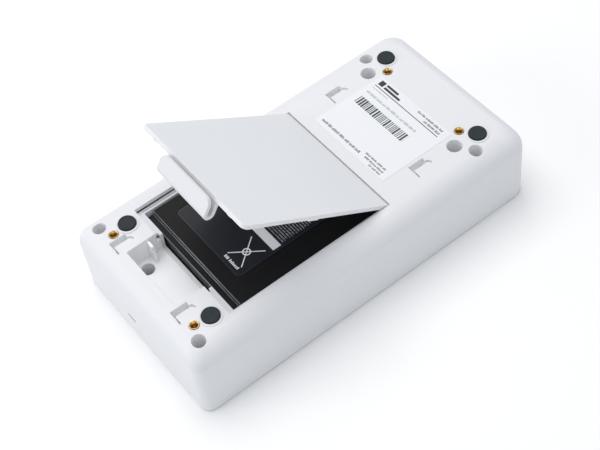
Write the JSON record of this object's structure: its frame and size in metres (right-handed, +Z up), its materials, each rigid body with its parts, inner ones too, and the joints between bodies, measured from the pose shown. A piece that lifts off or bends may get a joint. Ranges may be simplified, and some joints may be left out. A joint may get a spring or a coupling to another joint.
{
  "type": "label maker battery base",
  "caption": "White battery base for a desktop label printer, turned over, with its hinged battery door open over a black lift-out pack.",
  "frame": {"origin": "bottom centre of the bounding box, on the face it lies on, which is the side that meets the printer", "axes": "+Z up, out of the base's own underside, which faces up here as it does when the battery is changed; +Y along the base, away from the finger pocket and towards the rating label; +X across it"},
  "size_m": [0.11, 0.2124, 0.0993],
  "materials": {
    "white_case": "fine satin moulding texture",
    "white_door": "fine satin moulding texture, a touch greyer",
    "white_latch": "fine satin moulding texture",
    "slate_rubber": "matt",
    "brass": "turned, knurled",
    "steel_screw": "zinc plated",
    "label_film": "smooth printed film",
    "circuit_board": "solder mask",
    "nickel": "plated strip",
    "black_shell": "satin",
    "pack_film": "smooth printed film",
    "cell_sleeve": "shrink sleeve",
    "wire_sleeve": "soft",
    "cream_plug": "satin",
    "capacitor_can": "sleeved can",
    "black_part": "satin"
  },
  "bodies": {
    "case": {"bottom_case": "white_case", "top_cover": "white_case", "battery_tray": "white_case", "foot_near_left": "slate_rubber", "foot_near_right": "slate_rubber", "foot_far_left": "slate_rubber", "foot_far_right": "slate_rubber", "insert_near_left": "brass", "insert_near_right": "brass", "insert_far_left": "brass", "insert_far_right": "brass", "case_screw_near_left": "steel_screw", "case_screw_near_right": "steel_screw", "case_screw_far_left": "steel_screw", "case_screw_far_right": "steel_screw", "case_screw_pocket": "steel_screw", "printer_screw_left": "steel_screw", "printer_screw_right": "steel_screw", "rating_label": "label_film", "main_board": "circuit_board", "board_screw_1": "steel_screw", "board_screw_2": "steel_screw", "board_screw_3": "steel_screw", "board_screw_4": "steel_screw", "docking_connector": "black_part", "docking_contact_1": "nickel", "docking_contact_2": "nickel", "docking_contact_3": "nickel", "docking_contact_4": "nickel", "docking_contact_5": "nickel", "docking_contact_6": "nickel", "battery_contact_block": "black_part", "battery_contact_1": "nickel", "battery_contact_2": "nickel", "battery_contact_3": "nickel", "battery_contact_4": "nickel", "battery_contact_5": "nickel", "harness_plug": "cream_plug", "contact_harness": "wire_sleeve", "power_coil": "black_part", "control_chip": "black_part", "filter_capacitor": "capacitor_can"},
    "door": {"battery_door": "white_door"},
    "latch": {"door_latch": "white_latch"},
    "pack": {"pack_lower_shell": "black_shell", "pack_upper_shell": "black_shell", "pack_label": "pack_film", "cell_1": "cell_sleeve", "cell_2": "cell_sleeve", "cell_3": "cell_sleeve", "cell_4": "cell_sleeve", "cell_strap_near": "nickel", "cell_strap_far": "nickel", "pack_board": "circuit_board", "pack_terminals": "black_part"}
  },
  "joints": [
    {"name": "door_hinge", "type": "hinge", "parent": "case", "child": "door", "pos_m": [0, 0.021, 0.0432], "axis": [-1, 0, 0], "range_deg": [-33.6, 61.4]},
    {"name": "latch_flex", "type": "hinge", "parent": "door", "child": "latch", "pos_m": [0, -0.05887, 0.09411], "axis": [1, 0, 0], "range_deg": [0, 5], "stiffness_Nm_per_rad": 0.6},
    {"name": "pack_tip", "type": "hinge", "parent": "case", "child": "pack", "pos_m": [0, 0.017, 0.027], "axis": [-1, 0, 0], "range_deg": [0, 1.2]}
  ]
}
